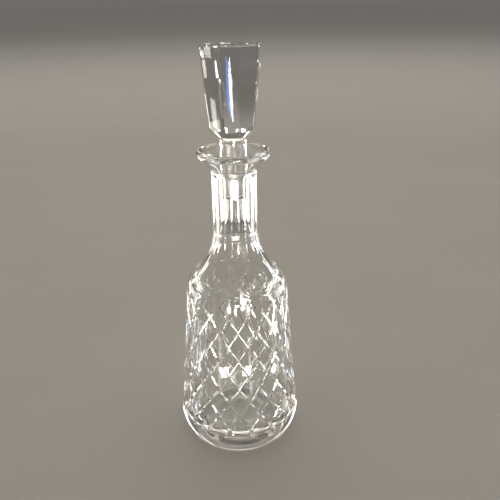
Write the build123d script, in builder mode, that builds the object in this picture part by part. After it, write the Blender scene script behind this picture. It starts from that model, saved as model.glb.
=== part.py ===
from build123d import *
import os
from math import atan, cos, degrees, radians, tan

# Cut crystal decanter: a hollow cut-glass bottle and its loose, ground-in, eight-sided stopper.
# Units are millimetres. The bottle stands on z = 0 with its axis on Z, and its front is -Y. Every
# (radius, height) pair below is a point of a half section that is revolved about that axis.

os.makedirs("parts", exist_ok=True)

# ---- Heights above the table ----
OVERALL_HEIGHT = 330.0     # flat top of the stopper
RIM_HEIGHT = 254.0         # pouring rim
LIP_TURN_HEIGHT = 249.7    # where the cone under the lip turns up into the rim's edge
SEAT_TOP = 238.5           # where the funnel of the mouth meets the ground seat
SEAT_BOTTOM = 215.0        # lower end of the ground seat in the neck
PLUG_BOTTOM = 217.0        # lower end of the stopper's ground plug
BORE_END = 198.0           # the inside of the neck opens out below here
INNER_NECK_TOP = 187.0     # and has reached its full width here
FLOOR_HEIGHT = 13.0        # top of the thick glass base
HEEL_HEIGHT = 12.0         # where the heel turns into the side
PUNT_DEPTH = 2.2           # recess under the base, inside the resting ring

# ---- Radii ----
FOOT_RADIUS = 42.5         # outer edge of the resting ring
PUNT_RADIUS = 29.5         # inner edge of the resting ring
PUNT_TOP_RADIUS = 14.0     # the recess rises gently to here, and is flat inside it
NECK_RADIUS = 17.9
BORE_RADIUS = 8.6          # inside of the neck, just below the seat
INNER_NECK_RADIUS = 13.9   # inside of the neck, where it is widest
SEAT_RADIUS = 9.65         # ground seat, at SEAT_TOP
LIP_RADIUS = 28.7
MOUTH_RADIUS = 23.0        # inner edge of the rim

# ---- Straight walls of the section, as (radius at z = 0, change of radius per mm of height) ----
SIDE_WALL = (53.5, -0.085)
SHOULDER_SLOPE = tan(radians(38))
SHOULDER_WALL = (27.0 + 164.0 * SHOULDER_SLOPE, -SHOULDER_SLOPE)
NECK_WALL = (NECK_RADIUS, 0.0)
INNER_NECK_WALL = (INNER_NECK_RADIUS, 0.0)
LIP_WALL = (-221.1, 1.0)
SIDE_THICKNESS = 5.5
SHOULDER_THICKNESS = 3.6

# ---- Roundings between the straight walls ----
PUNT_ROUNDINGS = (60.0, 4.0)
FOOT_ROUNDING = 4.0
HEEL_ROUNDING = 26.0
SHOULDER_ROUNDING = 24.0
NECK_SWEEP = 44.0
LIP_ROUNDINGS = (3.0, 4.0)
RIM_ROUNDINGS = (2.4, 2.2)
FUNNEL_ROUNDING = 6.0
BORE_END_ROUNDING = 10.0
INNER_NECK_TOP_ROUNDING = 8.0
INNER_NECK_SWEEP = 28.0
INNER_SHOULDER_ROUNDING = 19.0
INNER_FLOOR_ROUNDING = 16.0

# ---- Flat flutes round the neck and the upper shoulder ----
FLUTE_COUNT = 20
FLUTE_DEPTH = 0.7          # below the blown surface, at the middle of a flute
FLUTE_HALF_WIDTH = 9.0     # of the cutter, wider than any flute
FLUTE_CUTTER_FOOT = 130.0  # lowest height of the cutter, clear of the glass there
FLUTE_TOP_ROUNDING = 6.0
CUTTER_RADIUS = 70.0       # outside of the cutter, clear of the glass
LIP_GAP = 2.0              # the cutter stays this far from the cone under the lip

# ---- Diamond cutting: two crossing families of spiral mitre grooves on the side wall ----
DIAMONDS_AROUND = 18
HALF_DIAMOND = 12.6        # height from one row of crossings to the next
FIRST_CROSSINGS = 28.3     # height of the lowest row of crossings
CROSSING_ROWS = 9
GROOVE_DEPTH = 0.9
GROOVE_HALF_WIDTH = 1.1    # at the surface of the wall
GROOVE_OVERRUN = 2.5       # height that a groove runs on past its last crossing

# ---- Stopper ----
STOPPER_SIDES = 8
STOPPER_TURN = 14.0        # angle at which the loose stopper sits in the neck, degrees
STEM_RADIUS = 10.4
COLLAR_RADIUS = 11.6
HEAD_BOTTOM_RADIUS = 17.5  # across the corners, at HEAD_BOTTOM
HEAD_TOP_RADIUS = 23.5     # across the corners, at OVERALL_HEIGHT
STEM_BOTTOM = 242.0
STEM_TOP = 262.5
COLLAR_HEIGHT = 264.5
HEAD_BOTTOM = 271.0
HEAD_START = 255.0         # the eight sides start here and are trimmed by the cone under the head
TOP_CHAMFER = 0.8
SEAT_CLEARANCE = 0.05      # radial gap between the ground plug and its seat
STEM_ROUNDINGS = (0.8, 1.5, 1.5, 1.2, 0)

FRONT = -90.0              # direction of -Y, in degrees about Z


def radius_at(wall, height):
    """Radius of a straight wall at a height."""
    return wall[0] + wall[1] * height


def moved_in(wall, thickness):
    """A straight wall moved towards the axis by a thickness measured square to the wall."""
    return wall[0] - thickness / cos(atan(wall[1])), wall[1]


def crossing(first, second):
    """The (radius, height) at which two straight walls meet."""
    height = (second[0] - first[0]) / (first[1] - second[1])
    return radius_at(first, height), height


# ---- Bottle section: (corner, rounding), from the middle of the base, up the outside, over the
# rim, and down the inside to the middle of the floor ----
inner_side = moved_in(SIDE_WALL, SIDE_THICKNESS)
inner_shoulder = moved_in(SHOULDER_WALL, SHOULDER_THICKNESS)
section = [
    ((0, PUNT_DEPTH), 0),
    ((PUNT_TOP_RADIUS, PUNT_DEPTH), PUNT_ROUNDINGS[0]),
    ((PUNT_RADIUS, 0), PUNT_ROUNDINGS[1]),
    ((FOOT_RADIUS, 0), FOOT_ROUNDING),
    ((radius_at(SIDE_WALL, HEEL_HEIGHT), HEEL_HEIGHT), HEEL_ROUNDING),
    (crossing(SIDE_WALL, SHOULDER_WALL), SHOULDER_ROUNDING),
    (crossing(SHOULDER_WALL, NECK_WALL), NECK_SWEEP),
    (crossing(NECK_WALL, LIP_WALL), LIP_ROUNDINGS[0]),
    ((LIP_RADIUS, LIP_TURN_HEIGHT), LIP_ROUNDINGS[1]),
    ((LIP_RADIUS, RIM_HEIGHT), RIM_ROUNDINGS[0]),
    ((MOUTH_RADIUS, RIM_HEIGHT), RIM_ROUNDINGS[1]),
    ((SEAT_RADIUS, SEAT_TOP), FUNNEL_ROUNDING),
    ((BORE_RADIUS, SEAT_BOTTOM), 0),
    ((BORE_RADIUS, BORE_END), BORE_END_ROUNDING),
    ((INNER_NECK_RADIUS, INNER_NECK_TOP), INNER_NECK_TOP_ROUNDING),
    (crossing(INNER_NECK_WALL, inner_shoulder), INNER_NECK_SWEEP),
    (crossing(inner_side, inner_shoulder), INNER_SHOULDER_ROUNDING),
    ((radius_at(inner_side, FLOOR_HEIGHT), FLOOR_HEIGHT), INNER_FLOOR_ROUNDING),
    ((0, FLOOR_HEIGHT), 0),
]

# ---- Flute cutter: everything outside one flat flute. The flute follows the neck and the
# shoulder FLUTE_DEPTH below the blown surface, and runs out through it at both ends ----
flute_shoulder = moved_in(SHOULDER_WALL, FLUTE_DEPTH)
flute_neck = moved_in(NECK_WALL, FLUTE_DEPTH)
flute_top = (LIP_WALL[0] + LIP_GAP, LIP_WALL[1])

with BuildPart() as flute_cutter:
    with BuildSketch(Plane.XZ):
        with BuildLine():
            flute = FilletPolyline(
                (radius_at(flute_shoulder, FLUTE_CUTTER_FOOT), FLUTE_CUTTER_FOOT),
                crossing(flute_shoulder, flute_neck),
                crossing(flute_neck, flute_top),
                (CUTTER_RADIUS, CUTTER_RADIUS - flute_top[0]),
                radius=[NECK_SWEEP, FLUTE_TOP_ROUNDING],
            )
            Polyline(flute @ 1, (CUTTER_RADIUS, FLUTE_CUTTER_FOOT), flute @ 0)
        make_face()
    extrude(amount=FLUTE_HALF_WIDTH, both=True)

# ---- Groove cutters: a V swept up a spiral on the side wall, right-handed and left-handed ----
groove_start = FIRST_CROSSINGS - GROOVE_OVERRUN
groove_height = (CROSSING_ROWS - 1) * HALF_DIAMOND + 2 * GROOVE_OVERRUN
groove_pitch = 2 * DIAMONDS_AROUND * HALF_DIAMOND
overrun_turn = 360 * GROOVE_OVERRUN / groove_pitch
half_cell_turn = 180 / DIAMONDS_AROUND


def groove_cutter(left_handed):
    """One spiral V cutter that starts on the +X side of the bottle."""
    with BuildPart() as cutter:
        with BuildLine():
            spiral = Helix(
                pitch=groove_pitch,
                height=groove_height,
                radius=radius_at(SIDE_WALL, groove_start),
                center=(0, 0, groove_start),
                cone_angle=degrees(atan(SIDE_WALL[1])),
                lefthand=left_handed,
            )
        start = spiral @ 0
        outward = Vector(start.X, start.Y, 0)
        with BuildSketch(Plane(origin=start, x_dir=outward, z_dir=spiral % 0)):
            with BuildLine():
                Polyline(
                    (-GROOVE_DEPTH, 0),
                    (GROOVE_DEPTH, 2 * GROOVE_HALF_WIDTH),
                    (GROOVE_DEPTH, -2 * GROOVE_HALF_WIDTH),
                    (-GROOVE_DEPTH, 0),
                )
            make_face()
        sweep(path=spiral, is_frenet=True)
    return cutter.part


right_handed_groove = groove_cutter(False)
left_handed_groove = groove_cutter(True)

with BuildPart() as decanter_body:
    with BuildSketch(Plane.XZ):
        with BuildLine():
            wall = FilletPolyline(
                [corner for corner, _ in section],
                radius=[rounding for _, rounding in section[1:-1]],
            )
            Line(wall @ 1, wall @ 0)
        make_face()
    revolve(axis=Axis.Z)
    with PolarLocations(0, FLUTE_COUNT, start_angle=FRONT):
        add(flute_cutter.part, mode=Mode.SUBTRACT)
    with PolarLocations(0, DIAMONDS_AROUND, start_angle=FRONT + half_cell_turn - overrun_turn):
        add(right_handed_groove, mode=Mode.SUBTRACT)
    with PolarLocations(0, DIAMONDS_AROUND, start_angle=FRONT + half_cell_turn + overrun_turn):
        add(left_handed_groove, mode=Mode.SUBTRACT)
decanter_body.part.label = "decanter_body"
export_step(decanter_body.part, "parts/decanter_body.step")

# ---- Stopper: a tapering eight-sided head on a cone, a stem, and the ground plug ----
head_taper = (HEAD_TOP_RADIUS - HEAD_BOTTOM_RADIUS) / (OVERALL_HEIGHT - HEAD_BOTTOM)
head_start_radius = HEAD_BOTTOM_RADIUS - head_taper * (HEAD_BOTTOM - HEAD_START)
cone_slope = (HEAD_BOTTOM_RADIUS - COLLAR_RADIUS) / (HEAD_BOTTOM - COLLAR_HEIGHT)
cone_top = COLLAR_HEIGHT + (HEAD_TOP_RADIUS - COLLAR_RADIUS) / cone_slope
seat_taper = (SEAT_RADIUS - BORE_RADIUS) / (SEAT_TOP - SEAT_BOTTOM)
plug_wall = (SEAT_RADIUS - seat_taper * SEAT_TOP - SEAT_CLEARANCE, seat_taper)

with BuildPart() as stopper:
    with BuildSketch(Plane.XY.offset(HEAD_START)):
        RegularPolygon(head_start_radius, STOPPER_SIDES, rotation=STOPPER_TURN)
    with BuildSketch(Plane.XY.offset(OVERALL_HEIGHT)):
        RegularPolygon(HEAD_TOP_RADIUS, STOPPER_SIDES, rotation=STOPPER_TURN)
    loft()
    top_edges = stopper.faces().sort_by(Axis.Z)[-1].edges()
    chamfer(top_edges, length=TOP_CHAMFER)
    with BuildSketch(Plane.XZ):
        with BuildLine():
            cone = Polyline(
                (0, COLLAR_HEIGHT),
                (COLLAR_RADIUS, COLLAR_HEIGHT),
                (HEAD_TOP_RADIUS, cone_top),
                (HEAD_TOP_RADIUS, OVERALL_HEIGHT),
                (0, OVERALL_HEIGHT),
            )
            Line(cone @ 1, cone @ 0)
        make_face()
    revolve(axis=Axis.Z, mode=Mode.INTERSECT)
    with BuildSketch(Plane.XZ):
        with BuildLine():
            stem = FilletPolyline(
                (0, PLUG_BOTTOM),
                (radius_at(plug_wall, PLUG_BOTTOM), PLUG_BOTTOM),
                (radius_at(plug_wall, SEAT_TOP), SEAT_TOP),
                (STEM_RADIUS, STEM_BOTTOM),
                (STEM_RADIUS, STEM_TOP),
                (COLLAR_RADIUS, COLLAR_HEIGHT),
                (0, COLLAR_HEIGHT),
                radius=STEM_ROUNDINGS,
            )
            Line(stem @ 1, stem @ 0)
        make_face()
    revolve(axis=Axis.Z)
stopper.part.label = "stopper"
export_step(stopper.part, "parts/stopper.step")
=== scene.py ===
from math import asin, atan, atan2, ceil, cos, degrees, exp, hypot, pi, radians, sin, tan

import bmesh
import bpy
from mathutils import Matrix, Vector, noise


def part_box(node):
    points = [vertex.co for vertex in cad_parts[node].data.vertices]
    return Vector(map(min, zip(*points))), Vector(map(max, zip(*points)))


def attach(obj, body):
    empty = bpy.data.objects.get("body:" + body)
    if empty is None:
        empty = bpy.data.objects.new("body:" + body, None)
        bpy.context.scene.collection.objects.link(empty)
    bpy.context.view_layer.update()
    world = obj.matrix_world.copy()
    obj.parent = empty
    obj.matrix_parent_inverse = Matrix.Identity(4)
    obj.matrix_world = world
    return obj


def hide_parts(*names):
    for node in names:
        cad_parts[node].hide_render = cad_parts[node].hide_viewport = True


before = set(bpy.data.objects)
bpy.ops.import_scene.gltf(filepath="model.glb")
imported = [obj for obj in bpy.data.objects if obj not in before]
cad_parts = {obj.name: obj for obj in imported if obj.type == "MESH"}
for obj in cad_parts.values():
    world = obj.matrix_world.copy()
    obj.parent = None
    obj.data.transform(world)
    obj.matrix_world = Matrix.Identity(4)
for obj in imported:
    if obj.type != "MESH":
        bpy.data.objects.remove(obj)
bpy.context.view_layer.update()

# The looks of the cut crystal decanter. Lengths of the glass are in millimetres until a vertex is
# made, which turns them into metres. The section repeats the CAD section. The cutting is modelled
# here as it is on the glass: mitre grooves that run out, flat flutes that end in scallops, and
# polished edges.
MM = 0.001

_, body_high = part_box("decanter_body")
stopper_low, stopper_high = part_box("stopper")

# ---- Heights, from the frame where the frame says them ----
RIM_HEIGHT = body_high[2] / MM
OVERALL_HEIGHT = stopper_high[2] / MM
PLUG_BOTTOM = stopper_low[2] / MM
LIP_TURN_HEIGHT = RIM_HEIGHT - 4.3
SEAT_TOP = RIM_HEIGHT - 15.5
SEAT_BOTTOM = PLUG_BOTTOM - 2.0
BORE_END = 198.0           # the inside of the neck opens out below here
INNER_NECK_TOP = 187.0     # and has reached its full width here
FLOOR_HEIGHT = 13.0        # top of the thick glass base
HEEL_HEIGHT = 12.0
PUNT_DEPTH = 2.2           # recess under the base, inside the resting ring

# ---- Radii and walls of the section, as in the CAD ----
FOOT_RADIUS = 42.5         # outer edge of the resting ring
PUNT_RADIUS = 29.5         # inner edge of the resting ring
PUNT_TOP_RADIUS = 14.0     # the recess rises gently to here, and is flat inside it
NECK_RADIUS = 17.9
BORE_RADIUS = 8.6          # inside of the neck, just below the seat
SEAT_RADIUS = 9.65         # ground seat, at SEAT_TOP
INNER_NECK_RADIUS = 13.9   # inside of the neck, where it is widest
LIP_RADIUS = 28.7
MOUTH_RADIUS = 23.0        # inner edge of the rim
# Straight walls are given as (radius at height 0, change of radius per mm of height).
SIDE_WALL = (53.5, -0.085)
SHOULDER_SLOPE = tan(radians(38))
SHOULDER_WALL = (27.0 + 164.0 * SHOULDER_SLOPE, -SHOULDER_SLOPE)
NECK_WALL = (NECK_RADIUS, 0.0)
INNER_NECK_WALL = (INNER_NECK_RADIUS, 0.0)
LIP_WALL = (-221.1, 1.0)
SIDE_THICKNESS = 5.5
SHOULDER_THICKNESS = 3.6

# ---- Roundings between the straight walls, as in the CAD ----
PUNT_ROUNDINGS = (60, 4)
FOOT_ROUNDING = 4
HEEL_ROUNDING = 26
SHOULDER_ROUNDING = 24
NECK_SWEEP = 44
LIP_ROUNDINGS = (3, 4)
RIM_ROUNDINGS = (2.4, 2.2)
FUNNEL_ROUNDING = 6
BORE_END_ROUNDING = 10
INNER_NECK_TOP_ROUNDING = 8
INNER_NECK_SWEEP = 28
INNER_SHOULDER_ROUNDING = 19
INNER_FLOOR_ROUNDING = 16

# ---- Mesh fineness ----
SHARP_FROM = 7             # edges that turn by more degrees than this are sharp
COLUMNS = 360              # one column of vertices per degree
ON_AXIS = 1e-6             # a smaller radius than this is on the axis
ARC_STEP = radians(6)      # longest step along a rounding of a section
RUN_STEP = 7.0             # and along a straight run
FINE_ARC_STEP = radians(0.5)
FINE_RUN_STEP = 1.0        # both finer, for the tables of radii
HALVINGS = 40              # steps of the search for a meeting height

# ---- Ground seat and plug ----
GROUND_SEAT = (SEAT_BOTTOM - 0.1, SEAT_TOP - 2)
GROUND_PLUG = (PLUG_BOTTOM + 0.9, SEAT_TOP + 0.1)
INSIDE_RADIUS = MOUTH_RADIUS - 3

# ---- Inside, which was blown and never cut ----
BLOWN_UNEVENNESS = 0.2
BLOWN_SCALE = 0.030        # cells of noise per mm
BLOWN_STRETCH = 0.7        # the waves are longer up and down than across
BLOWN_TOP = SEAT_BOTTOM - 10
BLOWN_CENTRE = 4           # the middle of the floor stays even, inside this radius

# ---- Flutes ----
FLUTE_COUNT = 20
FLUTE_HALF = 180.0 / FLUTE_COUNT
FLUTE_DEPTH = 0.7          # below the blown surface, at the middle of a flute
FLUTE_HOLLOW = 0.06        # each flute is cut very slightly hollow
FLUTE_LAND = 0.49          # depth of the ridge between two flutes, below the blown surface
FLUTE_END = 151.0          # lowest point of a flute, in its middle
SCALLOP = 4.8              # the flutes' ends rise by this much to the points between them
FLUTE_STEP = 1.6           # height over which a flute's end comes down to its depth
FLAT_FROM = 190.0          # a flute is flat across from here up
ROUNDED_BY = 177.0         # and has rounded out by here, going down
ROUNDED_FLATNESS = 0.15    # to this share of its flatness
RIDGE_HEIGHT = 0.3         # the ridge between two flutes stands proud of them by this much more
RIDGE_HALF = 2.0           # and spreads over this many degrees to each side
RIDGE_FAINT = 166.0        # the ridge is faintest from here down, on the shoulder
RIDGE_FAINTEST = 0.15      # where it has this share of its height
RIDGE_FADE = 20            # and it has its whole height this far above there
FLUTE_FIELD_LOW = 142.0    # plain glass below this height
FLUTE_FIELD_HIGH = 237.6   # and above this one
FLUTE_ROWS = 36            # rows of faces along a flute
LEAD_ROWS = 3              # rows of plain glass up to a flute's end
STEP_ROWS = 4              # rows over FLUTE_STEP
CLOSING_ROWS = 2           # rows of plain glass above a flute
FLUTE_TABLE_LOW = 130.0    # the table of flute radii starts here
FLUTE_TOP_RADIUS = 30.0    # and ends out here, clear of the glass
FLUTE_TOP_ROUNDING = 6
LIP_GAP = 2.0              # a flute stays this far from the cone under the lip
FLUTE_TOPS = (215.0, 238.0)  # the flutes end between these heights

# ---- Diamond cutting ----
DIAMONDS_AROUND = 18
HALF_DIAMOND = 12.6        # height from one row of crossings to the next
FIRST_CROSSINGS = 28.3     # height of row 0 of the crossings
LAST_ROW = 8
LOW_ROOM = 14.0            # height left for the closed-up rows below row 0
HIGH_ROOM = 12.9           # and above the last row
GROOVE_DEPTH = 0.85
GROOVE_HALF_WIDTH = 0.9    # at the surface of the wall
NARROWEST_GROOVE = 0.25    # share of its width that a groove keeps as it runs out
GATHERING = 3              # grid lines are fully gathered from a third of the full depth up
GROOVE_EDGE = 0.03         # width of the polished edge of a groove, as a share of a cell
GROOVE_RUN_OUT = 0.4       # how far a groove runs past its last crossing, in rows
LOZENGE_FLATNESS = 0.1     # 0 leaves a lozenge round with the wall, 1 makes it flat across
GRID = 10                  # faces along a side of one diamond
EVEN_LINES = [-1 + 0.2 * k for k in range(GRID + 1)]
GROOVE_PROFILE = [1.0, 0.07] + [0.0] * (GRID - 3) + [0.07, 1.0]
FIELD_LOW = 14.0           # the rows of diamonds are filled up to level rows at these heights
FIELD_HIGH = FLUTE_FIELD_LOW


# ---------------------------------------------------------------- sections

def radius_at(wall, height):
    return wall[0] + wall[1] * height


def moved_in(wall, thickness):
    return wall[0] - thickness / cos(atan(wall[1])), wall[1]


def crossing(first, second):
    height = (second[0] - first[0]) / (first[1] - second[1])
    return radius_at(first, height), height


def rounded_path(corners, arc_step=ARC_STEP, run_step=RUN_STEP):
    """Points along a polyline whose corners, given as ((r, z), rounding), become arcs."""
    points = [Vector(corners[0][0])]

    def run_to(end):
        start = points[-1]
        steps = max(1, ceil((end - start).length / run_step))
        for k in range(1, steps + 1):
            points.append(start.lerp(end, k / steps))

    for before, (corner, rounding), after in zip(corners, corners[1:], corners[2:]):
        corner = Vector(corner)
        back = (Vector(before[0]) - corner).normalized()
        ahead = (Vector(after[0]) - corner).normalized()
        half = back.angle(ahead) / 2
        if rounding == 0 or half > radians(89.9):
            run_to(corner)
            continue
        reach = rounding / tan(half)
        centre = corner + (back + ahead).normalized() * (rounding / sin(half))
        arc_start = corner + back * reach - centre
        arc_end = corner + ahead * reach - centre
        turn = atan2(arc_start.x * arc_end.y - arc_start.y * arc_end.x, arc_start.dot(arc_end))
        run_to(centre + arc_start)
        steps = max(2, ceil(abs(turn) / arc_step))
        for k in range(1, steps + 1):
            angle = turn * k / steps
            points.append(centre + Matrix.Rotation(angle, 2) @ arc_start)
    run_to(Vector(corners[-1][0]))
    return points


inner_side = moved_in(SIDE_WALL, SIDE_THICKNESS)
inner_shoulder = moved_in(SHOULDER_WALL, SHOULDER_THICKNESS)
lip_root = crossing(NECK_WALL, LIP_WALL)

# The outside as it was blown, from the middle of the base to the root of the lip, then the lip
# and the whole inside. Each row is (corner, rounding).
base_section = [
    ((0, PUNT_DEPTH), 0),
    ((PUNT_TOP_RADIUS, PUNT_DEPTH), PUNT_ROUNDINGS[0]),
    ((PUNT_RADIUS, 0), PUNT_ROUNDINGS[1]),
    ((FOOT_RADIUS, 0), FOOT_ROUNDING),
    ((radius_at(SIDE_WALL, HEEL_HEIGHT), HEEL_HEIGHT), HEEL_ROUNDING),
    (crossing(SIDE_WALL, SHOULDER_WALL), SHOULDER_ROUNDING),
    (crossing(SHOULDER_WALL, NECK_WALL), NECK_SWEEP),
    (lip_root, 0),
]
top_section = [
    ((NECK_RADIUS, FLUTE_FIELD_HIGH), 0),
    (lip_root, LIP_ROUNDINGS[0]),
    ((LIP_RADIUS, LIP_TURN_HEIGHT), LIP_ROUNDINGS[1]),
    ((LIP_RADIUS, RIM_HEIGHT), RIM_ROUNDINGS[0]),
    ((MOUTH_RADIUS, RIM_HEIGHT), RIM_ROUNDINGS[1]),
    ((SEAT_RADIUS, SEAT_TOP), FUNNEL_ROUNDING),
    ((BORE_RADIUS, SEAT_BOTTOM), 0),
    ((BORE_RADIUS, BORE_END), BORE_END_ROUNDING),
    ((INNER_NECK_RADIUS, INNER_NECK_TOP), INNER_NECK_TOP_ROUNDING),
    (crossing(INNER_NECK_WALL, inner_shoulder), INNER_NECK_SWEEP),
    (crossing(inner_side, inner_shoulder), INNER_SHOULDER_ROUNDING),
    ((radius_at(inner_side, FLOOR_HEIGHT), FLOOR_HEIGHT), INNER_FLOOR_ROUNDING),
    ((0, FLOOR_HEIGHT), 0),
]
flute_shoulder = moved_in(SHOULDER_WALL, FLUTE_DEPTH)
flute_neck = moved_in(NECK_WALL, FLUTE_DEPTH)
flute_top = (LIP_WALL[0] + LIP_GAP, LIP_WALL[1])
flute_section = [
    ((radius_at(flute_shoulder, FLUTE_TABLE_LOW), FLUTE_TABLE_LOW), 0),
    (crossing(flute_shoulder, flute_neck), NECK_SWEEP),
    (crossing(flute_neck, flute_top), FLUTE_TOP_ROUNDING),
    ((FLUTE_TOP_RADIUS, FLUTE_TOP_RADIUS - flute_top[0]), 0),
]


def height_table(corners, lowest):
    """A fine table of a section's outer points above a height, rising, for radius lookups."""
    fine = rounded_path(corners, FINE_ARC_STEP, FINE_RUN_STEP)
    return [(p.y, p.x) for p in fine if p.y > lowest or p.x > FOOT_RADIUS]


def lookup(table, height):
    """Radius at a height in a height table, by straight interpolation."""
    low, high = 0, len(table) - 1
    while high - low > 1:
        middle = (low + high) // 2
        if table[middle][0] <= height:
            low = middle
        else:
            high = middle
    (z0, r0), (z1, r1) = table[low], table[high]
    return r0 + (r1 - r0) * (height - z0) / (z1 - z0)


blown_table = height_table(base_section, PUNT_DEPTH + 1)
flute_table = height_table(flute_section, PUNT_DEPTH)


# ---------------------------------------------------------------- mesh building

class Shell:
    """A mesh under construction. Its vertices are given by angle, radius and height in mm."""

    def __init__(self):
        self.bm = bmesh.new()

    def vertex(self, angle, radius, height):
        """Angle is in degrees from the front, -Y, towards +X."""
        a = radians(angle)
        return self.bm.verts.new((radius * sin(a) * MM, -radius * cos(a) * MM, height * MM))

    def face(self, verts, material=0):
        unique = [v for k, v in enumerate(verts) if v is not verts[k - 1]]
        if len(unique) > 2:
            made = self.bm.faces.new(unique)
            made.material_index = material
            made.smooth = True

    def ring(self, radius, height, shape=None):
        """One closed row of vertices, or a single vertex on the axis. The shape function, if
        any, gives what is added to the radius."""
        if radius < ON_AXIS:
            return [self.vertex(0, 0, height)]
        row = []
        for c in range(COLUMNS):
            angle = 360.0 * c / COLUMNS
            added = shape(angle, radius, height) if shape else 0.0
            row.append(self.vertex(angle, radius + added, height))
        return row

    def join(self, lower, upper, material=0):
        """Faces between two rows, either of which may be a single vertex."""
        n = max(len(lower), len(upper))
        for c in range(n):
            d = (c + 1) % n
            a, b = lower[c % len(lower)], lower[d % len(lower)]
            e, f = upper[d % len(upper)], upper[c % len(upper)]
            if len(lower) == 1:
                self.face([a, e, f], material)
            elif len(upper) == 1:
                self.face([a, b, e], material)
            else:
                self.face([a, b, e, f], material)


def blown_shape(angle, radius, height):
    """The slow unevenness of the inside, which was blown and never cut."""
    if height > BLOWN_TOP or radius < BLOWN_CENTRE:
        return 0.0
    a = radians(angle)
    place = Vector((cos(a) * radius, sin(a) * radius, height * BLOWN_STRETCH)) * BLOWN_SCALE
    return BLOWN_UNEVENNESS * noise.noise(place)


def row_height(v):
    """Height of lattice row v. Beyond the grooves' ends the rows close up, clear of the flutes
    above and the heel below."""
    if v < 0:
        return FIRST_CROSSINGS - LOW_ROOM * (1 - exp(v * HALF_DIAMOND / LOW_ROOM))
    if v > LAST_ROW:
        past = (v - LAST_ROW) * HALF_DIAMOND
        top = FIRST_CROSSINGS + LAST_ROW * HALF_DIAMOND
        return top + HIGH_ROOM * (1 - exp(-past / HIGH_ROOM))
    return FIRST_CROSSINGS + v * HALF_DIAMOND


def groove_strength(v):
    """1 where a groove has its full depth, falling to 0 where the wheel left the glass."""
    past = max(-v, v - LAST_ROW)
    if past <= 0:
        return 1.0
    return max(0.0, 1.0 - (past / GROOVE_RUN_OUT) ** 2)


def lattice_line(index, v):
    """Place of a cell's grid line, from -1 to 1: even where there is no groove, and gathered
    to the groove's edges where there is one."""
    strength = groove_strength(v)
    radius = lookup(blown_table, row_height(v))
    width = radius * pi / DIAMONDS_AROUND
    across = width * HALF_DIAMOND / hypot(width, HALF_DIAMOND)
    edge = 1 - GROOVE_HALF_WIDTH * max(strength, NARROWEST_GROOVE) / across
    half = [0.25, 0.5, edge - GROOVE_EDGE, edge, 1]
    crowded = [-place for place in reversed(half)] + [0] + half
    share = min(1.0, GATHERING * strength)
    return EVEN_LINES[index] * (1 - share) + crowded[index] * share


def diamond_field(shell):
    """The diamond-cut wall: one grid of faces per diamond, shared along the grooves. Returns
    the lowest and the highest row of vertices, one per column."""
    turn = 180 / DIAMONDS_AROUND
    made = {}

    def vertex(u, v, depth):
        column = round((u * turn) % 360, 4) % 360
        key = (round(column * 1000), round(v * 100000))
        if key not in made:
            height = row_height(v)
            made[key] = shell.vertex(column, lookup(blown_table, height) - depth, height)
            columns = made.setdefault(("column", round(column)), [])
            if abs(column - round(column)) < 1e-3:
                columns.append((height, made[key]))
        return made[key]

    def cell_vertex(uc, vc, i, j):
        s, t = EVEN_LINES[i], EVEN_LINES[j]
        for _ in range(2):
            s_near = -1 if i <= GRID // 2 else 1
            t_near = -1 if j <= GRID // 2 else 1
            s_new = lattice_line(i, vc + (s_near - t) / 2)
            t_new = lattice_line(j, vc + (s - t_near) / 2)
            s, t = s_new, t_new
        if i in (0, GRID):
            s = EVEN_LINES[i]
        if j in (0, GRID):
            t = EVEN_LINES[j]
        u, v = uc + (s + t) / 2, vc + (s - t) / 2
        s_edge = vc + ((-1 if i <= GRID // 2 else 1) - t) / 2
        t_edge = vc + (s - (-1 if j <= GRID // 2 else 1)) / 2
        groove = max(
            GROOVE_PROFILE[i] * groove_strength(s_edge),
            GROOVE_PROFILE[j] * groove_strength(t_edge),
        )
        hollow = 1 - cos(radians(turn)) / cos(radians((u - uc) * turn))
        hollow *= LOZENGE_FLATNESS * lookup(blown_table, row_height(v)) * groove_strength(v)
        return vertex(u, v, groove * GROOVE_DEPTH + (1 - groove) * hollow)

    for vc in range(-1, LAST_ROW + 2):
        for uc in range(2 * DIAMONDS_AROUND):
            if (uc + vc) % 2 == 1:
                continue
            grid = [[cell_vertex(uc, vc, i, j) for j in range(GRID + 1)] for i in range(GRID + 1)]
            for i in range(GRID):
                for j in range(GRID):
                    a, b = grid[i][j], grid[i + 1][j]
                    c, d = grid[i + 1][j + 1], grid[i][j + 1]
                    corner = i in (0, GRID - 1) and j in (0, GRID - 1)
                    if corner and (i == 0) == (j == 0):
                        shell.face([a, c, b])
                        shell.face([a, d, c])
                    elif corner:
                        shell.face([a, d, b])
                        shell.face([b, d, c])
                    else:
                        shell.face([a, d, c, b])
    low_row, high_row = [], []
    for c in range(COLUMNS):
        column = sorted(made[("column", c)], key=lambda item: item[0])
        low_row.append(column[0][1])
        high_row.append(column[-1][1])
    return low_row, high_row


def fill_rows(shell, row, height_to, steps):
    """Rows of plain blown surface from a row of vertices to a level height. Returns the last."""
    start_heights = [v.co.z / MM for v in row]
    for k in range(1, steps + 1):
        new = []
        for c in range(COLUMNS):
            height = start_heights[c] + (height_to - start_heights[c]) * k / steps
            new.append(shell.vertex(360.0 * c / COLUMNS, lookup(blown_table, height), height))
        if height_to > start_heights[0]:
            shell.join(row, new)
        else:
            shell.join(new, row)
        row = new
    return row


def meeting_height(low, high, gap):
    """Height between two others at which a gap changes sign, by halving."""
    sign = gap(low) > 0
    for _ in range(HALVINGS):
        middle = (low + high) / 2
        if (gap(middle) > 0) == sign:
            low = middle
        else:
            high = middle
    return (low + high) / 2


def smooth_step(value):
    value = min(1.0, max(0.0, value))
    return value * value * (3 - 2 * value)


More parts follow.
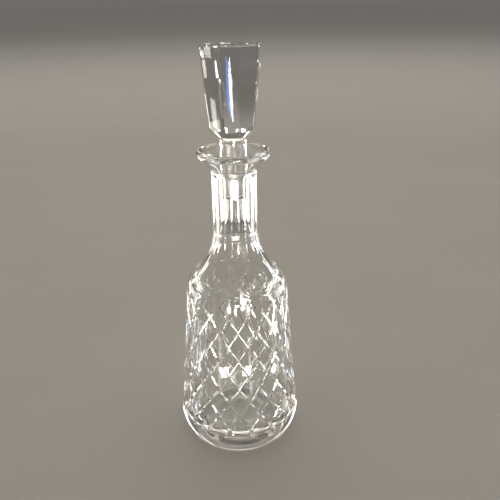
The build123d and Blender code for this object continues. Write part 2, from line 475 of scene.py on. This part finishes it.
def flute_radius(height, off, end):
    """Radius of the fluted surface, off degrees from a flute's middle. The flute ends at end."""
    turn = cos(radians(off))
    ridge = RIDGE_HEIGHT * max(0.0, (abs(off) - FLUTE_HALF) / RIDGE_HALF + 1) ** 2
    shown = smooth_step((height - RIDGE_FAINT) / RIDGE_FADE)
    ridge *= RIDGE_FAINTEST + (1 - RIDGE_FAINTEST) * shown
    if height > FLAT_FROM:
        across = 1 - (off / FLUTE_HALF) ** 2
        return lookup(flute_table, height) / turn - FLUTE_HOLLOW * across + ridge
    blown = lookup(blown_table, height)
    flatness = smooth_step((height - ROUNDED_BY) / (FLAT_FROM - ROUNDED_BY))
    flatness = ROUNDED_FLATNESS + (1 - ROUNDED_FLATNESS) * flatness
    depth = FLUTE_LAND + flatness * blown * (1 - cos(radians(FLUTE_HALF)) / turn)
    return blown - (depth - ridge) * smooth_step((height - end) / FLUTE_STEP)


def flute_field(shell, row):
    """The fluted shoulder and neck, from a level row of vertices up to FLUTE_FIELD_HIGH."""
    share = 2 * FLUTE_HALF
    offsets = [(360.0 * c / COLUMNS + FLUTE_HALF) % share - FLUTE_HALF for c in range(COLUMNS)]
    lows = [FLUTE_END + SCALLOP * (o / FLUTE_HALF) ** 2 for o in offsets]
    tops = {}
    for off in set(round(abs(o), 4) for o in offsets):
        tops[off] = meeting_height(
            *FLUTE_TOPS,
            lambda z: lookup(blown_table, z) - lookup(flute_table, z) / cos(radians(off)),
        )
    highs = [tops[round(abs(o), 4)] for o in offsets]

    def add_row(heights, cut):
        nonlocal row
        new = []
        for c, height in enumerate(heights):
            radius = lookup(blown_table, height)
            if cut:
                radius = min(radius, flute_radius(height, offsets[c], lows[c]))
            new.append(shell.vertex(360.0 * c / COLUMNS, radius, height))
        shell.join(row, new)
        row = new

    for k in range(1, LEAD_ROWS + 1):
        add_row([FLUTE_FIELD_LOW + (z - FLUTE_FIELD_LOW) * k / LEAD_ROWS for z in lows], False)
    for k in range(1, STEP_ROWS + 1):
        add_row([z + FLUTE_STEP * k / STEP_ROWS for z in lows], True)
    for k in range(1, FLUTE_ROWS + 1):
        w = k / FLUTE_ROWS
        heights = [z0 + FLUTE_STEP + (z1 - z0 - FLUTE_STEP) * w for z0, z1 in zip(lows, highs)]
        add_row(heights, k < FLUTE_ROWS)
    for k in range(1, CLOSING_ROWS + 1):
        add_row([z + (FLUTE_FIELD_HIGH - z) * k / CLOSING_ROWS for z in highs], False)
    return row


def glass_object(name, shell, materials):
    """Turns a shell into an object with its sharp edges marked."""
    bmesh.ops.recalc_face_normals(shell.bm, faces=shell.bm.faces)
    mesh = bpy.data.meshes.new(name)
    shell.bm.to_mesh(mesh)
    shell.bm.free()
    mesh.set_sharp_from_angle(angle=radians(SHARP_FROM))
    piece = bpy.data.objects.new(name, mesh)
    bpy.context.scene.collection.objects.link(piece)
    for material in materials:
        mesh.materials.append(material)
    return piece


def decanter_glass(materials):
    """The whole bottle as one closed skin, outside and inside."""
    shell = Shell()
    row = None
    for point in rounded_path(base_section):
        if point.y > FIELD_LOW - 1:
            break
        new = shell.ring(point.x, point.y)
        if row:
            shell.join(row, new)
        row = new
    field_low, field_high = diamond_field(shell)
    low = fill_rows(shell, field_low, FIELD_LOW, 3)
    shell.join(row, low)
    row = fill_rows(shell, field_high, FIELD_HIGH, 2)
    row = flute_field(shell, row)
    for point in rounded_path(top_section)[1:]:
        inside = point.x < INSIDE_RADIUS
        new = shell.ring(max(point.x, 0.0), point.y, shape=blown_shape if inside else None)
        ground = inside and GROUND_SEAT[0] < point.y < GROUND_SEAT[1]
        shell.join(row, new, 1 if ground else 0)
        row = new
    return glass_object("decanter_glass", shell, materials)


# ---------------------------------------------------------------- stopper

STOPPER_SIDES = 8
STOPPER_TURN = -8.5        # a panel of the loose stopper faces this many degrees from the front
STEM_RADIUS = 10.4
COLLAR_RADIUS = 11.6
HEAD_BOTTOM_RADIUS = 17.5  # across the corners, at HEAD_BOTTOM
HEAD_TOP_RADIUS = 23.5     # across the corners, at the top
STEM_BOTTOM = SEAT_TOP + 3.5
STEM_TOP = OVERALL_HEIGHT - 67.5
COLLAR_HEIGHT = OVERALL_HEIGHT - 65.5
HEAD_BOTTOM = OVERALL_HEIGHT - 59.0
TOP_CHAMFER = 0.8
EDGE_POLISH = 0.28         # half width of the polished edge between two panels
SEAT_CLEARANCE = 0.05      # radial gap between the ground plug and its seat
PLUG_ROUNDINGS = (0.8, 1.5)
STEM_ROUNDINGS = (1.5, 1.2)
CONE_START = COLLAR_HEIGHT + 1.0
HIGHEST_MEETING = HEAD_BOTTOM + 8  # the cone meets the panels below this height
CONE_ROWS = 5
PANEL_ROWS = 12
PANEL_STEPS = [k / 5 for k in range(-5, 6)]  # columns across a panel, as shares of its half
TOP_RINGS = (0.66, 0.33)   # sizes of the rings on the flat top, as shares of its outline


def stopper_glass(materials):
    """The solid stopper: plug, stem, collar, cone, eight panels and a flat top."""
    shell = Shell()
    half = 180.0 / STOPPER_SIDES
    taper = (HEAD_TOP_RADIUS - HEAD_BOTTOM_RADIUS) / (OVERALL_HEIGHT - HEAD_BOTTOM)
    cone_slope = (HEAD_BOTTOM_RADIUS - COLLAR_RADIUS) / (HEAD_BOTTOM - COLLAR_HEIGHT)

    def apothem(z):
        corner = HEAD_BOTTOM_RADIUS + taper * (z - HEAD_BOTTOM)
        return corner * cos(radians(half))

    def cone(z):
        return COLLAR_RADIUS + cone_slope * (z - COLLAR_HEIGHT)

    def columns(z, inset=0.0):
        """(angle, radius) all round a panelled level."""
        flat = apothem(z) - inset
        edge = half - degrees(asin(EDGE_POLISH / (flat / cos(radians(half)))))
        for side in range(STOPPER_SIDES):
            middle = STOPPER_TURN + side * 2 * half
            for step in PANEL_STEPS:
                yield middle + step * edge, flat / cos(radians(step * edge))

    start = list(columns(HEAD_BOTTOM))

    def panel_row(z_of, inset=0.0):
        """A row whose height may differ from column to column."""
        row = []
        for k in range(len(start)):
            z = z_of(k)
            angle, radius = list(columns(z, inset))[k]
            row.append(shell.vertex(angle, radius, z))
        return row

    seat_taper = (SEAT_RADIUS - BORE_RADIUS) / (SEAT_TOP - SEAT_BOTTOM)
    plug_wall = (SEAT_RADIUS - seat_taper * SEAT_TOP - SEAT_CLEARANCE, seat_taper)
    section = [
        ((0, PLUG_BOTTOM), 0),
        ((radius_at(plug_wall, PLUG_BOTTOM), PLUG_BOTTOM), PLUG_ROUNDINGS[0]),
        ((radius_at(plug_wall, SEAT_TOP), SEAT_TOP), PLUG_ROUNDINGS[1]),
        ((STEM_RADIUS, STEM_BOTTOM), STEM_ROUNDINGS[0]),
        ((STEM_RADIUS, STEM_TOP), STEM_ROUNDINGS[1]),
        ((COLLAR_RADIUS, COLLAR_HEIGHT), 0),
        ((cone(CONE_START), CONE_START), 0),
    ]
    row = None
    for point in rounded_path(section):
        if point.x < ON_AXIS:
            new = [shell.vertex(0, 0, point.y)]
        else:
            new = [shell.vertex(angle, point.x, point.y) for angle, _ in start]
        if row:
            ground = GROUND_PLUG[0] < point.y < GROUND_PLUG[1]
            shell.join(row, new, 1 if ground else 0)
        row = new

    meet = []
    for k in range(len(start)):
        off = (start[k][0] - STOPPER_TURN + half) % (2 * half) - half
        meet.append(meeting_height(
            COLLAR_HEIGHT, HIGHEST_MEETING,
            lambda z: cone(z) - apothem(z) / cos(radians(off)),
        ))
    for k in range(1, CONE_ROWS + 1):
        heights = [CONE_START + (z - CONE_START) * k / CONE_ROWS for z in meet]
        if k < CONE_ROWS:
            new = [shell.vertex(start[c][0], cone(z), z) for c, z in enumerate(heights)]
        else:
            new = panel_row(lambda c: meet[c])
        shell.join(row, new)
        row = new
    top = OVERALL_HEIGHT - TOP_CHAMFER
    for k in range(1, PANEL_ROWS + 1):
        new = panel_row(lambda c: meet[c] + (top - meet[c]) * k / PANEL_ROWS)
        shell.join(row, new)
        row = new
    new = panel_row(lambda c: OVERALL_HEIGHT, inset=TOP_CHAMFER)
    shell.join(row, new)
    for scale in TOP_RINGS:
        inner = [shell.bm.verts.new((v.co.x * scale, v.co.y * scale, v.co.z)) for v in new]
        shell.join(new, inner)
        new = inner
    shell.join(new, [shell.vertex(0, 0, OVERALL_HEIGHT)])
    return glass_object("stopper_glass", shell, materials)


# ---------------------------------------------------------------- materials

LEAD_CRYSTAL_IOR = 1.56
POLISHED = {"rough": (0.0, 0.012), "bump": 0.012}
GROUND = {"rough": (0.10, 0.16), "bump": 0.15}


def new_material(name):
    material = bpy.data.materials.new(name)
    material.use_nodes = True
    tree = material.node_tree
    return material, tree, tree.nodes["Principled BSDF"]


def crystal(name, rough, bump):
    """Lead crystal, with a haze that varies between two roughnesses and the wheel's slow ripple."""
    material, tree, shader = new_material(name)
    shader.inputs["Base Color"].default_value = (0.985, 0.99, 0.985, 1)
    shader.inputs["IOR"].default_value = LEAD_CRYSTAL_IOR
    shader.inputs["Transmission Weight"].default_value = 1.0
    place = tree.nodes.new("ShaderNodeTexCoord")
    haze = tree.nodes.new("ShaderNodeTexNoise")
    haze.inputs["Scale"].default_value = 55.0
    haze.inputs["Detail"].default_value = 3.0
    tree.links.new(place.outputs["Object"], haze.inputs["Vector"])
    spread = tree.nodes.new("ShaderNodeMapRange")
    spread.inputs["From Min"].default_value = 0.45
    spread.inputs["From Max"].default_value = 0.75
    spread.inputs["To Min"].default_value = rough[0]
    spread.inputs["To Max"].default_value = rough[1]
    tree.links.new(haze.outputs["Fac"], spread.inputs["Value"])
    tree.links.new(spread.outputs["Result"], shader.inputs["Roughness"])
    ripple = tree.nodes.new("ShaderNodeTexNoise")
    ripple.inputs["Scale"].default_value = 90.0
    ripple.inputs["Detail"].default_value = 1.0
    tree.links.new(place.outputs["Object"], ripple.inputs["Vector"])
    relief = tree.nodes.new("ShaderNodeBump")
    relief.inputs["Strength"].default_value = bump
    relief.inputs["Distance"].default_value = 0.001
    tree.links.new(ripple.outputs["Fac"], relief.inputs["Height"])
    tree.links.new(relief.outputs["Normal"], shader.inputs["Normal"])
    return material


def floor_material():
    """A plain pale matt floor with the faintest mottling. It grows paler far away, so that it
    meets the sky without a hard line. This paling is painted light on the far floor, where
    the lamps' light falls off."""
    material, tree, shader = new_material("pale_floor")
    place = tree.nodes.new("ShaderNodeTexCoord")
    mottle = tree.nodes.new("ShaderNodeTexNoise")
    mottle.inputs["Scale"].default_value = 6.0
    ramp = tree.nodes.new("ShaderNodeValToRGB")
    ramp.color_ramp.elements[0].color = (0.50, 0.485, 0.46, 1)
    ramp.color_ramp.elements[1].color = (0.54, 0.525, 0.50, 1)
    tree.links.new(place.outputs["Object"], mottle.inputs["Vector"])
    tree.links.new(mottle.outputs["Fac"], ramp.inputs["Fac"])
    length = tree.nodes.new("ShaderNodeVectorMath")
    length.operation = "LENGTH"
    tree.links.new(place.outputs["Object"], length.inputs[0])
    far = tree.nodes.new("ShaderNodeMapRange")
    far.inputs["From Min"].default_value = 1.2
    far.inputs["From Max"].default_value = 5.0
    tree.links.new(length.outputs["Value"], far.inputs["Value"])
    # Painted light: far from the middle the colour is mixed towards near white, brightening the far
    # floor
    painted_far_light = tree.nodes.new("ShaderNodeMix")
    painted_far_light.data_type = "RGBA"
    painted_far_light.inputs["B"].default_value = (0.95, 0.95, 0.94, 1)
    tree.links.new(far.outputs["Result"], painted_far_light.inputs["Factor"])
    tree.links.new(ramp.outputs["Color"], painted_far_light.inputs["A"])
    tree.links.new(painted_far_light.outputs["Result"], shader.inputs["Base Color"])
    shader.inputs["Roughness"].default_value = 0.8
    return material


# ---------------------------------------------------------------- studio

# Lengths are in metres from here on.
CAMERA_PLACE = (0, -0.4447, 0.3596)
CAMERA_PITCH = radians(23.07)
CAMERA_YAW = radians(1.48)
CAMERA_ROLL = radians(-0.92)
CAMERA_LENS = 42.57
FLOOR_RADIUS = 40.0

WARM = (1.0, 0.93, 0.82)
COOL = (0.80, 0.90, 1.0)
NEUTRAL = (1.0, 1.0, 1.0)
BLUE = (0.10, 0.25, 1.0)

MIDDLE = (0, 0, 0.15)      # near the decanter's middle; a light faces it unless told otherwise
CARD_RING = 0.17
CARDS = (                  # (degrees from the back towards +X, colour)
    (25, WARM),
    (60, NEUTRAL),
    (105, WARM),
    (160, NEUTRAL),
    (215, WARM),
    (265, NEUTRAL),
    (320, COOL),
)
GLINTS = 16
LOW_KEYS = (               # (x, y, size, radiance)
    (0.085, -0.43, 0.07, 35.0),
    (-0.03, -0.41, 0.04, 30.0),
    (0.16, -0.38, 0.04, 30.0),
    (-0.13, -0.40, 0.05, 25.0),
)


def make_camera():
    """The photograph's view: 23 degrees down, from the front, close to the decanter."""
    pitch, yaw, roll = CAMERA_PITCH, CAMERA_YAW, CAMERA_ROLL
    forward = Vector((sin(yaw) * cos(pitch), cos(yaw) * cos(pitch), -sin(pitch)))
    level_right = forward.cross(Vector((0, 0, 1))).normalized()
    level_up = level_right.cross(forward)
    right = level_right * cos(roll) + level_up * sin(roll)
    up = level_up * cos(roll) - level_right * sin(roll)
    data = bpy.data.cameras.new("camera")
    data.sensor_width = 36.0
    data.lens = CAMERA_LENS
    data.clip_start = 0.01
    camera = bpy.data.objects.new("camera", data)
    turn = Matrix((right, up, -forward)).transposed().to_4x4()
    camera.matrix_world = Matrix.Translation(CAMERA_PLACE) @ turn
    bpy.context.scene.collection.objects.link(camera)
    bpy.context.scene.camera = camera


glass_only = bpy.data.collections.new("glass_only")


def softbox(name, place, size, radiance, colour, aim=MIDDLE, shape="RECTANGLE", flagged=True):
    """A softbox that faces aim, with its radiance in W/(sr m2). A flagged one lights only the
    glass, and is seen only in it."""
    data = bpy.data.lights.new(name, "AREA")
    data.shape = shape
    data.size, data.size_y = size
    data.energy = radiance * size[0] * size[1] * pi
    data.color = colour
    light = bpy.data.objects.new(name, data)
    light.location = place
    light.rotation_euler = (Vector(aim) - Vector(place)).to_track_quat("-Z", "Y").to_euler()
    light.visible_camera = False
    if flagged:
        light.light_linking.receiver_collection = glass_only
    bpy.context.scene.collection.objects.link(light)


def make_floor():
    bm = bmesh.new()
    bmesh.ops.create_circle(bm, cap_ends=True, radius=FLOOR_RADIUS, segments=64)
    mesh = bpy.data.meshes.new("floor")
    bm.to_mesh(mesh)
    bm.free()
    floor = bpy.data.objects.new("floor", mesh)
    bpy.context.scene.collection.objects.link(floor)
    mesh.materials.append(floor_material())


def make_sky():
    world = bpy.data.worlds.new("studio")
    bpy.context.scene.world = world
    world.use_nodes = True
    sky = world.node_tree.nodes["Background"]
    sky.inputs["Color"].default_value = (1.0, 0.95, 0.88, 1)
    sky.inputs["Strength"].default_value = 0.16


def light_studio():
    """The overhead light, the only one that reaches the floor, and the lights that only the
    glass shows. These were placed for the highlights seen from this camera."""
    softbox("overhead", (0.0, 1.2, 2.4), (4.0, 4.0), 0.95, WARM, aim=(0, 1.2001, 0), flagged=False)

    # The white bands of the neck and plug, and the bright edges on both sides
    softbox("key", (0.19, -0.89, 0.26), (0.18, 0.56), 40.0, WARM, shape="ELLIPSE")
    softbox("left", (-0.45, 0.20, 0.065), (0.5, 0.13), 4.8, WARM)
    softbox("right", (0.45, 0.20, 0.065), (0.5, 0.13), 4.8, NEUTRAL)
    softbox("neck card", (0.0, -0.69, 0.045), (0.09, 0.09), 30.0, WARM, aim=(0, 0, 0.2))

    # The white streak on the stopper's front, and its blue edge
    aim = (0, 0, 0.3)
    softbox("streak", (-0.152, -0.50, 0.132), (0.005, 0.10), 18.0, COOL, aim, "ELLIPSE")
    softbox("blue streak", (-0.156, -0.50, 0.135), (0.006, 0.09), 9.0, BLUE, aim, "ELLIPSE")

    # Low lights around the bottle and on the floor, for the cuts of the body
    softbox("brow", (0, 0.50, 0.62), (0.9, 0.10), 4.0, WARM)
    for turn, tint in CARDS:
        a = radians(turn)
        place = (CARD_RING * sin(a), CARD_RING * cos(a), 0.03)
        softbox("card", place, (0.010, 0.06), 4.5, tint, aim=(0, 0, 0.06))
    for k in range(GLINTS):
        a = radians(8 + 360 * k / GLINTS)
        outward = Vector((sin(a), cos(a), 0))
        place = outward * (0.070 + 0.018 * (k % 3)) + Vector((0, 0, 0.004))
        aim = place + outward * 0.0001 + Vector((0, 0, 1))
        softbox("glint", place, (0.008, 0.022), 3.2, (WARM, NEUTRAL, COOL)[k % 3], aim)
    softbox("left strip", (-0.41, 0.27, 0.22), (0.05, 0.18), 9.0, WARM)
    softbox("right strip", (0.41, 0.27, 0.22), (0.05, 0.18), 9.0, NEUTRAL)
    for x, y, size, radiance in LOW_KEYS:
        softbox("low key", (x, y, 0.004), (size, size), radiance, WARM, aim=(0, 0, 0.13))


def set_up_render():
    scene = bpy.context.scene
    scene.cycles.max_bounces = 40
    scene.cycles.transmission_bounces = 40
    scene.cycles.glossy_bounces = 16
    scene.view_settings.view_transform = "Standard"
    scene.view_settings.exposure = 0.0


set_up_render()
make_camera()
make_floor()
make_sky()
light_studio()
clear = crystal("cut_crystal", **POLISHED)
ground = crystal("ground_crystal", **GROUND)
decanter = decanter_glass([clear, ground])
stopper = stopper_glass([clear, ground])

glass_only.objects.link(decanter)
glass_only.objects.link(stopper)

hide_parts("decanter_body")
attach(decanter, "decanter")
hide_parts("stopper")
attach(stopper, "stopper")
